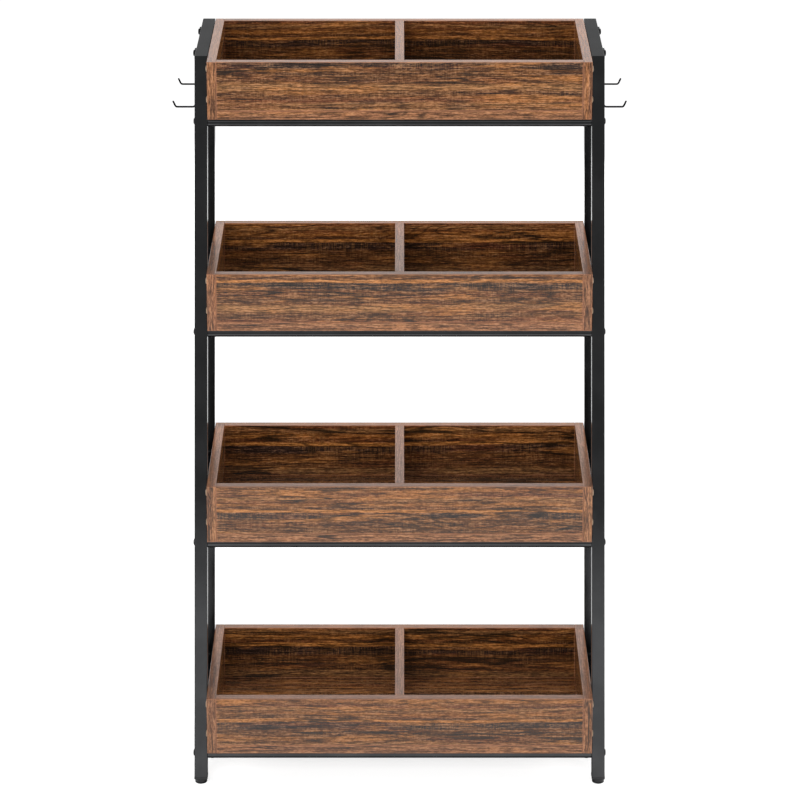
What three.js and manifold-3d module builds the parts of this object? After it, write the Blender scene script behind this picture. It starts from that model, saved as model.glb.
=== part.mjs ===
// A free-standing four-tier display rack: two welded steel side frames, round crossbars bolted between
// them, four open wooden trays with a divider and a leaning front, side hooks and screw-in feet.
// Millimetres, +Z up, front towards -Y. The origin is on the floor, under the middle of the rack.
// Crossbar bolts and wood screws are one body with the piece that their threads bite into.
import * as THREE from 'three';
import { mergeVertices } from 'three/addons/utils/BufferGeometryUtils.js';
import Module from 'manifold-3d';

const wasm = await Module();
wasm.setup();

// Whole rack
const frameWidth = 800;
const frameDepth = 300;
const frameHeight = 1420;
const trayCount = 4;
const fitGap = 0.3;
const cutOverrun = 1;

// Square tubes of the side frames
const tubeSize = 25;
const tubeWall = 1.2;
const tubeCorner = 2;
const rungSize = 20;
const rungWall = 1.2;
const rungCorner = 1.5;
const rungDrop = 60;

// Round crossbars under the trays and the bolts in their ends
const crossbarDiameter = 20;
const crossbarWall = 1.2;
const crossbarPlate = 5;
const boltShank = 6;
const boltHeadDiameter = 12;
const boltHeadHeight = 2.8;

// Trays
const trayHeight = 120;
const trayClearance = 1;
const board = 18;
const rimOverhang = 47.5;
const baseOverhang = 15.5;

// Screws that hold the panels, and the caps over the front ones
const screwShank = 4;
const screwLength = 45;
const screwHeadDiameter = 8;
const screwHeadHeight = 2.6;
const upperScrewDrop = 16;
const lowerScrewDrop = 80;
const capDiameter = 12;
const capHeight = 2.5;
const capRim = 1.1;

// Screws from the crossbars up into the side panels
const trayScrewShank = 4;
const trayScrewLength = 40;
const trayScrewHead = 8;
const trayScrewHeadHeight = 2.2;

// Hooks on the top rails
const wireDiameter = 3.5;
const hookInset = 65;
const hookArmDrop = 116.5;
const hookArmReach = 40.5;
const hookTipRise = 12;
const hookTipAngle = THREE.MathUtils.degToRad(64);
const hookBend = 5;
const strapWidth = 18;
const strapHeight = 24;
const strapThickness = 3.2;
const strapCorner = 4;
const strapWeld = 4;
const hookBoltDrop = 10.5;
const hookBoltLength = 14;

// Plugs and levelling feet
const plugLip = 0.5;
const plugFlangeHeight = 3.7;
const plugFlangeCorner = 3;
const plugDepth = 22;
const plugToBolt = 21.7;
const footDiameter = 23.5;
const footHeight = 8.7;
const footEdge = 2.6;
const studDiameter = 8;
const studLength = 26;
const studChamfer = 0.8;

// How finely round forms are cut into faces
const barSides = 16;
const holeSides = 8;
const boltSides = 10;
const screwSides = 8;
const footSides = 16;
const wireSides = 8;
const bendSteps = 4;
const cornerSteps = 1;
const domeSteps = 2;

// Places that follow from the sizes above
const sides = [-1, 1];
const tiers = Array.from({ length: trayCount }, (_, tier) => tier);
const frontFaceY = (rimOverhang - frameDepth - plugLip) / 2;
const postX = (frameWidth - tubeSize) / 2;
const frontTubeY = tubeSize / 2;
const rearTubeY = frameDepth - tubeSize / 2;
const tubeLines = [frontTubeY, rearTubeY];
const hookLines = [hookInset, frameDepth - hookInset];
const postBottom = footHeight + fitGap + plugFlangeHeight + fitGap;
const trayWidth = frameWidth - 2 * (tubeSize + trayClearance);
const crossbarDrop = trayHeight + fitGap + crossbarDiameter / 2;
const crossbarLength = frameWidth - 2 * (tubeSize + fitGap);
const boltLength = tubeSize + fitGap + crossbarPlate;
const lowestRim = postBottom + plugDepth + plugToBolt + crossbarDrop;
const trayPitch = (frameHeight - lowestRim) / (trayCount - 1);
const boltSeatX = frameWidth / 2 + fitGap;
const hookBoltSeatX = boltSeatX + strapThickness + fitGap;
const trayScrewX = (trayWidth - board) / 2;
const frontSlope = (rimOverhang - baseOverhang) / trayHeight;
const slantedBoard = board * Math.hypot(1, frontSlope);
const floorDrop = trayHeight - board;
const panelHeight = floorDrop - fitGap;
const innerWidth = trayWidth - 2 * (board + fitGap);
const panelScrewDrops = [upperScrewDrop, lowerScrewDrop];
const rearScrewY = frameDepth - board / 2;

// The side panel's front edge and the two faces of the leaning front panel, at a drop below the rim.
function frontPanelOuterY(drop) {
  return frontSlope * drop - rimOverhang;
}

function frontPanelInnerY(drop) {
  return frontPanelOuterY(drop) + slantedBoard;
}

function frontScrewY(drop) {
  return frontPanelOuterY(drop) + slantedBoard / 2;
}

function rimHeight(tier) {
  return frameHeight - tier * trayPitch;
}

function cornerName(side, y, piece) {
  const sideName = side < 0 ? 'left' : 'right';
  const endName = y < frameDepth / 2 ? 'front' : 'rear';
  return `${sideName}_${endName}_${piece}`;
}

// Materials
function steel(color, roughness) {
  return new THREE.MeshStandardMaterial({ color, roughness, metalness: 0.3 });
}

function matte(color, roughness) {
  return new THREE.MeshStandardMaterial({ color, roughness, metalness: 0 });
}

const paintedSteel = () => steel(0x1d1d1f, 0.42);
const boltSteel = () => steel(0x161617, 0.38);
const rusticWood = () => matte(0x7a5842, 0.5);
const footPlastic = () => matte(0x171717, 0.6);

// Solids: a closed three.js geometry in, a cut or joined one out
function toSolid(geometry) {
  const bare = geometry.clone();
  bare.deleteAttribute('normal');
  bare.deleteAttribute('uv');
  const merged = mergeVertices(bare);
  return new wasm.Manifold(new wasm.Mesh({
    numProp: 3,
    vertProperties: new Float32Array(merged.getAttribute('position').array),
    triVerts: new Uint32Array(merged.getIndex().array),
  }));
}

function toGeometry(solid) {
  const mesh = solid.getMesh();
  const geometry = new THREE.BufferGeometry();
  geometry.setAttribute('position', new THREE.BufferAttribute(mesh.vertProperties, 3));
  geometry.setIndex(new THREE.BufferAttribute(mesh.triVerts, 1));
  geometry.computeVertexNormals();
  return geometry;
}

function cut(geometry, cutters) {
  const rest = cutters.reduce((solid, cutter) => solid.subtract(toSolid(cutter)), toSolid(geometry));
  return toGeometry(rest);
}

function join(geometry, others) {
  const whole = others.reduce((solid, other) => solid.add(toSolid(other)), toSolid(geometry));
  return toGeometry(whole);
}

function makeMesh(name, geometry, material, x = 0, y = 0, z = 0) {
  const mesh = new THREE.Mesh(geometry, material);
  mesh.name = name;
  mesh.position.set(x, y, z);
  return mesh;
}

function makeGroup(x, y, z, children) {
  const group = new THREE.Group();
  group.position.set(x, y, z);
  group.add(...children);
  return group;
}

// Plain shapes, each along Z from 0 unless it says otherwise
function roundedSquare(path, size, radius) {
  const reach = size / 2 - radius;
  path.absarc(reach, reach, radius, 0, Math.PI / 2);
  path.absarc(-reach, reach, radius, Math.PI / 2, Math.PI);
  path.absarc(-reach, -reach, radius, Math.PI, 1.5 * Math.PI);
  path.absarc(reach, -reach, radius, 1.5 * Math.PI, 2 * Math.PI);
  path.closePath();
  return path;
}

function extrude(shape, depth) {
  return new THREE.ExtrudeGeometry(shape, { depth, bevelEnabled: false, curveSegments: cornerSteps });
}

function squareTube(length, size, wall, corner) {
  const shape = roundedSquare(new THREE.Shape(), size, corner);
  shape.holes.push(roundedSquare(new THREE.Path(), size - 2 * wall, corner - wall / 2));
  return extrude(shape, length);
}

// A round rod along X between two places.
function rodAlongX(diameter, fromX, toX, sideCount) {
  const radius = diameter / 2;
  const rod = new THREE.CylinderGeometry(radius, radius, Math.abs(toX - fromX), sideCount);
  rod.rotateZ(Math.PI / 2);
  rod.translate((fromX + toX) / 2, 0, 0);
  return rod;
}

// A round rod along Z between two heights.
function rodAlongZ(diameter, fromZ, toZ, sideCount) {
  const radius = diameter / 2;
  const rod = new THREE.CylinderGeometry(radius, radius, Math.abs(toZ - fromZ), sideCount);
  rod.rotateX(Math.PI / 2);
  rod.translate(0, 0, (fromZ + toZ) / 2);
  return rod;
}

// The diameter of a many-sided hole that leaves the fit gap all round a shank.
function clearanceFor(shank, sideCount) {
  return (shank + 2 * fitGap) / Math.cos(Math.PI / sideCount);
}

function boltHole(fromX, toX) {
  return rodAlongX(clearanceFor(boltShank, holeSides), fromX, toX, holeSides);
}

// A turned piece around Z from a list of [radius, height] points that starts and ends on the axis.
function turned(points, sideCount) {
  const profile = points.map(([radius, height]) => new THREE.Vector2(radius, height));
  const geometry = new THREE.LatheGeometry(profile, sideCount);
  geometry.rotateX(Math.PI / 2);
  return geometry;
}

// A quarter ellipse of profile points from the rim of a dome to its top on the axis.
function domePoints(radius, base, height) {
  return Array.from({ length: domeSteps + 1 }, (_, step) => {
    const angle = (step / domeSteps) * (Math.PI / 2);
    return [radius * Math.cos(angle), base + height * Math.sin(angle)];
  });
}

// A board whose outline lies in the Y-Z plane, as [y, drop] points, spread over a width along X.
function boardFromSide(outline, width) {
  const shape = new THREE.Shape(outline.map(([y, drop]) => new THREE.Vector2(y, -drop)));
  const geometry = extrude(shape, width);
  geometry.translate(0, 0, -width / 2);
  geometry.rotateX(Math.PI / 2);
  geometry.rotateZ(Math.PI / 2);
  return geometry;
}

// Side frames: the end of a tube slides along itself to lie on a 45 degree plane.
function mitreEnd(geometry, end, shift) {
  const position = geometry.getAttribute('position');
  for (let i = 0; i < position.count; i += 1) {
    if (Math.abs(position.getZ(i) - end) < fitGap) {
      position.setZ(i, end + shift(position.getY(i)));
    }
  }
}

// A post stands on its plug; towardsMiddle is 1 on a front post and -1 on a rear one.
function postGeometry(towardsMiddle) {
  const length = frameHeight - postBottom;
  const tube = squareTube(length, tubeSize, tubeWall, tubeCorner);
  mitreEnd(tube, length, (y) => -(tubeSize / 2 + towardsMiddle * y) - fitGap);
  const holes = tiers.map((tier) => {
    const hole = boltHole(-tubeSize, tubeSize);
    hole.translate(0, 0, rimHeight(tier) - crossbarDrop - postBottom);
    return hole;
  });
  return cut(tube, holes);
}

// The top rail runs from front to back; its hook bolt holes are in the outer wall alone.
function railGeometry(side) {
  const tube = squareTube(frameDepth, tubeSize, tubeWall, tubeCorner);
  mitreEnd(tube, 0, (y) => tubeSize / 2 - y);
  mitreEnd(tube, frameDepth, (y) => y - tubeSize / 2);
  tube.rotateX(Math.PI / 2);
  tube.rotateZ(Math.PI);
  const holes = hookLines.map((y) => {
    const hole = boltHole(0, side * tubeSize);
    hole.translate(0, y, tubeSize / 2 - hookBoltDrop);
    return hole;
  });
  return cut(tube, holes);
}

function rungGeometry() {
  const tube = squareTube(frameDepth - 2 * (tubeSize + fitGap), rungSize, rungWall, rungCorner);
  tube.rotateX(Math.PI / 2);
  tube.rotateZ(Math.PI);
  return tube;
}

function makeSideFrame(sideName, side) {
  const frontPost = makeMesh(`${sideName}_front_post`, postGeometry(1), paintedSteel(),
    0, frontTubeY, postBottom);
  const rearPost = makeMesh(`${sideName}_rear_post`, postGeometry(-1), paintedSteel(),
    0, rearTubeY, postBottom);
  const rail = makeMesh(`${sideName}_top_rail`, railGeometry(side), paintedSteel(),
    0, 0, frameHeight - tubeSize / 2);
  const rungs = tiers.slice(1).map((tier) => makeMesh(
    `${sideName}_rung_${tier + 1}`, rungGeometry(), paintedSteel(),
    0, tubeSize + fitGap, rimHeight(tier) - rungDrop,
  ));
  return makeGroup(side * postX, 0, 0, [frontPost, rearPost, rail, ...rungs]);
}

// A dome-head bolt for the outer side of a post: its seat is at 0 and its shank runs inwards.
function boltGeometry(side, length) {
  const shankRadius = boltShank / 2;
  const bolt = turned([
    [0, -length],
    [shankRadius, -length],
    [shankRadius, 0],
    ...domePoints(boltHeadDiameter / 2, 0, boltHeadHeight),
  ], boltSides);
  bolt.rotateY(side * (Math.PI / 2));
  return bolt;
}

// Crossbars: a round tube closed by a plate at each end, with a bolt threaded into each plate and
// holes near its ends for the screws of the tray above
function crossbarGeometry() {
  const half = crossbarLength / 2;
  const bar = rodAlongX(crossbarDiameter, -half, half, barSides);
  const bore = rodAlongX(crossbarDiameter - 2 * crossbarWall,
    crossbarPlate - half, half - crossbarPlate, barSides);
  const screwHoles = sides.map((side) => {
    const hole = rodAlongZ(clearanceFor(trayScrewShank, screwSides),
      -crossbarDiameter, crossbarDiameter, screwSides);
    hole.translate(side * trayScrewX, 0, 0);
    return hole;
  });
  const bolts = sides.map((side) => {
    const bolt = boltGeometry(side, boltLength);
    bolt.translate(side * boltSeatX, 0, 0);
    return bolt;
  });
  return join(cut(bar, [bore, ...screwHoles]), bolts);
}

function makeCrossbars(tier) {
  const z = rimHeight(tier) - crossbarDrop;
  return [
    makeMesh(`front_crossbar_${tier + 1}`, crossbarGeometry(), paintedSteel(), 0, frontTubeY, z),
    makeMesh(`rear_crossbar_${tier + 1}`, crossbarGeometry(), paintedSteel(), 0, rearTubeY, z),
  ];
}

// A flat path of straight runs joined by round bends; every step but the straight runs is in a bend.
class BentPath extends THREE.Curve {
  constructor(corners, radius, steps) {
    super();
    this.stations = [{ point: corners[0], tangent: corners[1].clone().sub(corners[0]).normalize() }];
    for (let i = 1; i < corners.length - 1; i += 1) {
      this.addBend(corners[i - 1], corners[i], corners[i + 1], radius, steps);
    }
    const last = corners.length - 1;
    this.stations.push({
      point: corners[last],
      tangent: corners[last].clone().sub(corners[last - 1]).normalize(),
    });
  }

  addBend(before, corner, after, radius, steps) {
    const inward = corner.clone().sub(before).normalize();
    const outward = after.clone().sub(corner).normalize();
    const turn = inward.angleTo(outward);
    const start = corner.clone().addScaledVector(inward, -radius * Math.tan(turn / 2));
    const toCentre = outward.clone().addScaledVector(inward, -Math.cos(turn)).normalize();
    const centre = start.clone().addScaledVector(toCentre, radius);
    for (let step = 0; step <= steps; step += 1) {
      const angle = (step / steps) * turn;
      const point = centre.clone()
        .addScaledVector(toCentre, -radius * Math.cos(angle))
        .addScaledVector(inward, radius * Math.sin(angle));
      const tangent = inward.clone().multiplyScalar(Math.cos(angle))
        .addScaledVector(toCentre, Math.sin(angle));
      this.stations.push({ point, tangent });
    }
  }

  get steps() {
    return this.stations.length - 1;
  }

  getPointAt(share, target = new THREE.Vector3()) {
    return target.copy(this.stations[Math.round(share * this.steps)].point);
  }

  getTangentAt(share, target = new THREE.Vector3()) {
    return target.copy(this.stations[Math.round(share * this.steps)].tangent);
  }
}

// Hooks: x grows outwards from the rail's outer face, z is 0 at the top of the frame.
function hookWireGeometry() {
  const wireX = fitGap + wireDiameter / 2;
  const tipRun = hookTipRise / Math.tan(hookTipAngle);
  const path = new BentPath([
    new THREE.Vector3(wireX, 0, strapWeld - strapHeight),
    new THREE.Vector3(wireX, 0, -hookArmDrop),
    new THREE.Vector3(hookArmReach, 0, -hookArmDrop),
    new THREE.Vector3(hookArmReach + tipRun, 0, hookTipRise - hookArmDrop),
  ], hookBend, bendSteps);
  const section = new THREE.Shape().absarc(0, 0, wireDiameter / 2, 0, 2 * Math.PI);
  return new THREE.ExtrudeGeometry(section, {
    steps: path.steps, curveSegments: wireSides / 2, extrudePath: path,
  });
}

function hookStrapGeometry() {
  const half = strapWidth / 2;
  const outline = new THREE.Shape();
  outline.moveTo(-half, 0);
  outline.lineTo(-half, strapCorner - strapHeight);
  outline.lineTo(strapCorner - half, -strapHeight);
  outline.lineTo(half - strapCorner, -strapHeight);
  outline.lineTo(half, strapCorner - strapHeight);
  outline.lineTo(half, 0);
  const strap = extrude(outline, strapThickness);
  strap.rotateX(Math.PI / 2);
  strap.rotateZ(Math.PI / 2);
  strap.translate(fitGap, 0, 0);
  const hole = boltHole(0, fitGap + strapThickness + cutOverrun);
  hole.translate(0, 0, -hookBoltDrop);
  return cut(strap, [hole]);
}

function makeHookBolt(side, y) {
  return makeMesh(cornerName(side, y, 'hook_bolt'), boltGeometry(side, hookBoltLength), boltSteel(),
    side * hookBoltSeatX, y, frameHeight - hookBoltDrop);
}

function makeHook(side, y) {
  const hook = makeMesh(cornerName(side, y, 'hook'), join(hookStrapGeometry(), [hookWireGeometry()]),
    paintedSteel(), side * (frameWidth / 2), y, frameHeight);
  hook.rotation.z = side > 0 ? 0 : Math.PI;
  return hook;
}

// Plugs and feet: z is 0 on the floor
function plugGeometry() {
  const flangeBottom = footHeight + fitGap;
  const flangeSize = tubeSize + 2 * plugLip;
  const flange = extrude(roundedSquare(new THREE.Shape(), flangeSize, plugFlangeCorner), plugFlangeHeight);
  flange.translate(0, 0, flangeBottom);
  const bodySize = tubeSize - 2 * (tubeWall + fitGap);
  const body = extrude(roundedSquare(new THREE.Shape(), bodySize, tubeCorner),
    plugFlangeHeight + plugDepth);
  body.translate(0, 0, flangeBottom);
  const studHole = rodAlongZ(clearanceFor(studDiameter, footSides), 0,
    postBottom + plugDepth + cutOverrun, footSides);
  return cut(join(flange, [body]), [studHole]);
}

function makePlug(side, y) {
  return makeMesh(cornerName(side, y, 'plug'), plugGeometry(), footPlastic(), side * postX, y, 0);
}

function footGeometry() {
  const padRadius = footDiameter / 2;
  const studRadius = studDiameter / 2;
  const edge = Array.from({ length: domeSteps + 1 }, (_, step) => {
    const angle = (step / domeSteps) * (Math.PI / 2);
    return [padRadius - footEdge * (1 - Math.sin(angle)), footEdge * (1 - Math.cos(angle))];
  });
  return turned([
    [0, 0],
    ...edge,
    [padRadius, footHeight],
    [studRadius, footHeight],
    [studRadius, footHeight + studLength - studChamfer],
    [studRadius - studChamfer, footHeight + studLength],
    [0, footHeight + studLength],
  ], footSides);
}

function makeFoot(side, y) {
  return makeMesh(cornerName(side, y, 'foot'), footGeometry(), footPlastic(), side * postX, y, 0);
}

// Panel screws: the profile from the tip of the shank to the face of a countersunk head at 0
function panelScrewProfile() {
  return [
    [0, -screwLength],
    [screwShank / 2, -screwLength],
    [screwShank / 2, -screwHeadHeight],
    [screwHeadDiameter / 2, 0],
  ];
}

// A cap that covers a screw's head and stands on the panel's face
function capProfile() {
  const radius = capDiameter / 2;
  const seat = 2 * fitGap;
  return [
    [screwHeadDiameter / 2, seat],
    [radius, seat],
    ...domePoints(radius, seat + capRim, capHeight - capRim),
  ];
}

function placePanelScrew(screw, side, y, drop) {
  screw.rotateY(side * (Math.PI / 2));
  screw.translate(side * (trayWidth / 2 - fitGap), y, -drop);
  return screw;
}

function cappedScrew(side, drop) {
  const screw = turned([...panelScrewProfile(), ...capProfile()], screwSides);
  return placePanelScrew(screw, side, frontScrewY(drop), drop);
}

function bareScrew(side, drop) {
  const screw = turned([...panelScrewProfile(), [0, 0]], screwSides);
  return placePanelScrew(screw, side, rearScrewY, drop);
}

// The countersunk hole that clears a panel screw, run out past both faces of a side panel.
function panelScrewHole(side, y, drop) {
  const shankRadius = screwShank / 2 + fitGap;
  const headRadius = screwHeadDiameter / 2 + fitGap;
  const hole = turned([
    [0, -board - cutOverrun],
    [shankRadius, -board - cutOverrun],
    [shankRadius, -screwHeadHeight],
    [headRadius, 0],
    [headRadius, cutOverrun],
    [0, cutOverrun],
  ], screwSides);
  return placePanelScrew(hole, side, y, drop);
}

// Tray screws: a pan head under the crossbar and a shank up through it into the side panel
function trayScrew(side, y) {
  const screw = turned([
    [0, -trayScrewHeadHeight],
    [trayScrewHead / 2, -trayScrewHeadHeight],
    [trayScrewHead / 2, 0],
    [trayScrewShank / 2, 0],
    [trayScrewShank / 2, trayScrewLength],
    [0, trayScrewLength],
  ], screwSides);
  screw.translate(side * trayScrewX, y, -(crossbarDrop + crossbarDiameter / 2 + fitGap));
  return screw;
}

// Trays: x is 0 in the middle, y is 0 at the posts' front faces and z is 0 at the rim
function sidePanelGeometry(side) {
  const panel = boardFromSide([
    [frontPanelOuterY(0), 0],
    [frameDepth, 0],
    [frameDepth, trayHeight],
    [frontPanelOuterY(trayHeight), trayHeight],
  ], board);
  panel.translate(side * trayScrewX, 0, 0);
  const screwHoles = panelScrewDrops.flatMap((drop) => [
    panelScrewHole(side, frontScrewY(drop), drop),
    panelScrewHole(side, rearScrewY, drop),
  ]);
  return join(cut(panel, screwHoles), tubeLines.map((y) => trayScrew(side, y)));
}

// A panel between the two side panels, with the screws that hold it there. It stands on the floor board.
function crossPanelGeometry(outline, makeScrew) {
  const screws = sides.flatMap((side) => panelScrewDrops.map((drop) => makeScrew(side, drop)));
  return join(boardFromSide(outline, innerWidth), screws);
}

function frontPanelGeometry() {
  return crossPanelGeometry([
    [frontPanelOuterY(0), 0],
    [frontPanelInnerY(0), 0],
    [frontPanelInnerY(panelHeight), panelHeight],
    [frontPanelOuterY(panelHeight), panelHeight],
  ], cappedScrew);
}

function backPanelGeometry() {
  return crossPanelGeometry([
    [frameDepth - board, 0],
    [frameDepth, 0],
    [frameDepth, panelHeight],
    [frameDepth - board, panelHeight],
  ], bareScrew);
}

function dividerGeometry() {
  return boardFromSide([
    [frontPanelInnerY(0) + fitGap, 0],
    [frameDepth - board - fitGap, 0],
    [frameDepth - board - fitGap, panelHeight],
    [frontPanelInnerY(panelHeight) + fitGap, panelHeight],
  ], board);
}

// The floor board runs under the front and back panels, so its front edge shows below the front panel.
function floorGeometry() {
  return boardFromSide([
    [frontPanelOuterY(floorDrop), floorDrop],
    [frameDepth, floorDrop],
    [frameDepth, trayHeight],
    [frontPanelOuterY(trayHeight), trayHeight],
  ], innerWidth);
}

function makeTray(tier) {
  const name = (piece) => `tray_${tier + 1}_${piece}`;
  return makeGroup(0, 0, rimHeight(tier), [
    makeMesh(name('left_side'), sidePanelGeometry(-1), rusticWood()),
    makeMesh(name('right_side'), sidePanelGeometry(1), rusticWood()),
    makeMesh(name('front_panel'), frontPanelGeometry(), rusticWood()),
    makeMesh(name('back_panel'), backPanelGeometry(), rusticWood()),
    makeMesh(name('divider'), dividerGeometry(), rusticWood()),
    makeMesh(name('floor'), floorGeometry(), rusticWood()),
  ]);
}

// The whole rack
const rack = new THREE.Group();
rack.position.y = frontFaceY;
rack.add(
  makeSideFrame('left', -1),
  makeSideFrame('right', 1),
  ...sides.flatMap((side) => hookLines.flatMap((y) => [makeHook(side, y), makeHookBolt(side, y)])),
  ...sides.flatMap((side) => tubeLines.flatMap((y) => [makePlug(side, y), makeFoot(side, y)])),
  ...tiers.flatMap((tier) => [...makeCrossbars(tier), makeTray(tier)]),
);

const group = new THREE.Group();
group.add(rack);

export default group;
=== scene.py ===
import math
import random

import bmesh
import bpy
from mathutils import Matrix, Vector


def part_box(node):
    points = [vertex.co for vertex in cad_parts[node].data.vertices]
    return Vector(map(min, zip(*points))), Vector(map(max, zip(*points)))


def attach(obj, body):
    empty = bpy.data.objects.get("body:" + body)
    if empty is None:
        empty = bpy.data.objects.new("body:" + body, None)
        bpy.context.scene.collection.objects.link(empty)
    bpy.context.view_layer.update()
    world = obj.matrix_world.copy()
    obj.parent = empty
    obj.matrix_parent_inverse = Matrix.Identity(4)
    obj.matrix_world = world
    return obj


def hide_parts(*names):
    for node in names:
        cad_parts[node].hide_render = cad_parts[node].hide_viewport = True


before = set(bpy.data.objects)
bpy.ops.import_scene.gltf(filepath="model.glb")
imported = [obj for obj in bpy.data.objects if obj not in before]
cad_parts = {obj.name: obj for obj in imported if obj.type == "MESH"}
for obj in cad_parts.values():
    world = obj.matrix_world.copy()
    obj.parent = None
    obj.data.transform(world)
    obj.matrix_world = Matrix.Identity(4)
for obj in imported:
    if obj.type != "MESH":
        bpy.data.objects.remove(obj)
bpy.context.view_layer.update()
scene = bpy.context.scene

# Sizes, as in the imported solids
TIERS = 4
TUBE = 0.025
TUBE_WALL = 0.0012
RUNG = 0.020
RUNG_CORNER = 0.0015
BAR_RADIUS = 0.010
HALF_WIDTH = 0.400
POST_X = HALF_WIDTH - TUBE / 2
FRONT_Y = -0.1265
BACK_Y = 0.1735
TOP_Z = 1.420
TRAY_HALF_WIDTH = 0.374
TRAY_HEIGHT = 0.120
BOARD = 0.018
FRONT_RIM_Y = -0.174
FRONT_SLOPE = 0.032 / TRAY_HEIGHT
SLANTED_BOARD = BOARD * math.hypot(1, FRONT_SLOPE)
BOARD_GAP = 0.00005
PANEL_HEIGHT = TRAY_HEIGHT - BOARD - BOARD_GAP
CROSSBAR_DROP = 0.1303
BOLT_HEAD_RADIUS = 0.006
BOLT_HEAD_HEIGHT = 0.0028
SCREW_HEAD_RADIUS = 0.004
TRAY_SCREW_HEIGHT = 0.0022
CAP_DROPS = (0.016, 0.080)
CAP_RADIUS = 0.006
CAP_SIDE = 0.0011
CAP_DOME = 0.0014
HOOK_BOLT_DROP = 0.0105
HOOK_BOLT_HEIGHT = BOLT_HEAD_HEIGHT + 0.0003
STRAP_SEAT = 0.0003
STRAP_THICKNESS = 0.0032
STRAP_BOTTOM = TOP_Z - 0.024
STRAP_CUT = 0.004
WIRE_RADIUS = 0.00175
WIRE_TOP = STRAP_BOTTOM + 0.004
WIRE_BEND = 0.005
WIRE_ARM_Z = TOP_Z - 0.1165
WIRE_BEND_X = HALF_WIDTH + 0.0405
WIRE_TIP_RISE = 0.012
WIRE_TIP_ANGLE = 64
PLUG_FLANGE = 0.0037
PLUG_FLANGE_CORNER = 0.003
PLUG_BODY_CORNER = 0.002
PLUG_GAP = 0.0006
PLUG_BORE_RADIUS = 0.0043
PAD_HEIGHT = 0.0087
STUD_RADIUS = 0.004

# Finish, where the scene shows more than the solids do or follows the photograph more closely
TUBE_CORNER = 0.0012
CORNER_STEPS = 4
BAR_CHAMFER = 0.0006
BOARD_EDGE = 0.0007
# The boards' rubbed edges, partly wearing and partly a painted highlight: the band's width, and how much the
# upward rims and the other narrow faces take
WORN_LIT_BAND = 0.0022
NARROW_WEAR_AND_HIGHLIGHT = 0.5
RIM_WEAR_AND_HIGHLIGHT = 0.8
WELD_RADIUS = 0.0014
WELD_STEP = 0.0018
BEAD_START = 0.0014
BEAD_STEP = 0.0004
BEAD_RADII = [0.0012, 0.0016, 0.0015, 0.0012, 0.0006]
STRAP_TOP = TOP_Z - 0.0028
STRAP_EDGE = 0.0004
TRAY_SCREW_SUNK = 0.0014
BACK_SCREW_HEIGHT = 0.0005
PLUG_EDGE = 0.0004
PAD_EDGE = 0.0011
PAD_TOP_EDGE = 0.0010
THREAD_DEPTH = 0.0005
THREAD_PITCH = 0.00125

SIDES = {"left": -1, "right": 1}
TUBE_LINES = {"front": FRONT_Y + TUBE / 2, "rear": BACK_Y - TUBE / 2}


def rim_of(tier):
    """Height of a tray's rim; trays are counted from the top."""
    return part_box(f"tray_{tier}_divider")[1].z


def front_y(drop):
    """Outer face of the leaning front panel at a drop below the rim."""
    return FRONT_RIM_Y + FRONT_SLOPE * drop


# Materials
class Paint:
    """A material whose nodes are added one by one, each fed with values or with earlier sockets."""

    def __init__(self, name):
        self.material = bpy.data.materials.new(name)
        self.material.use_nodes = True
        self.tree = self.material.node_tree
        self.shader = self.tree.nodes["Principled BSDF"]

    def add(self, kind, inputs, **settings):
        node = self.tree.nodes.new("ShaderNode" + kind)
        for key, value in settings.items():
            setattr(node, key, value)
        self.feed(node, inputs)
        return node

    def feed(self, node, inputs):
        for key, value in inputs.items():
            if isinstance(value, bpy.types.NodeSocket):
                self.tree.links.new(value, node.inputs[key])
            else:
                node.inputs[key].default_value = value

    def math(self, operation, a, b=0.0):
        return self.add("Math", {0: a, 1: b}, operation=operation).outputs[0]

    def span(self, value, low, high, to_low=0.0, to_high=1.0):
        inputs = {"Value": value, "From Min": low, "From Max": high, "To Min": to_low, "To Max": to_high}
        return self.add("MapRange", inputs, interpolation_type="SMOOTHSTEP").outputs[0]

    def mix(self, share, a, b, blend="MIX"):
        node = self.add("Mix", {}, data_type="RGBA", blend_type=blend)
        self.feed(node, {0: share, 6: a, 7: b})
        return node.outputs[2]

    def noise(self, place, scale, detail, roughness, distortion=0.0):
        inputs = {"Vector": place, "Scale": scale, "Detail": detail, "Roughness": roughness,
                  "Distortion": distortion}
        return self.add("TexNoise", inputs).outputs["Fac"]

    def stretched(self, place, x, y):
        return self.add("Mapping", {"Vector": place, "Scale": (x, y, 1)}).outputs[0]

    def ramp(self, value, stops):
        node = self.add("ValToRGB", {"Fac": value})
        elements = node.color_ramp.elements
        while len(elements) < len(stops):
            elements.new(0.5)
        for element, (position, colour) in zip(elements, stops):
            element.position = position
            element.color = (*colour, 1)
        return node.outputs["Color"]

    def bump(self, height, distance, strength):
        inputs = {"Height": height, "Distance": distance, "Strength": strength}
        return self.add("Bump", inputs).outputs["Normal"]


GLOW = (0.38, 0.145, 0.036)
ORANGE = (0.28, 0.102, 0.024)
TAN = (0.24, 0.108, 0.038)
BROWN = (0.125, 0.045, 0.013)
RUSSET = (0.120, 0.032, 0.011)
UMBER = (0.070, 0.026, 0.009)
SLATE = (0.030, 0.015, 0.011)
CRACK = (0.007, 0.004, 0.002)
PALE = (0.34, 0.185, 0.095)
# The rubbed edge's colour, partly wearing and partly a painted highlight
EDGE_TONE = (0.295, 0.124, 0.061)

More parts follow.
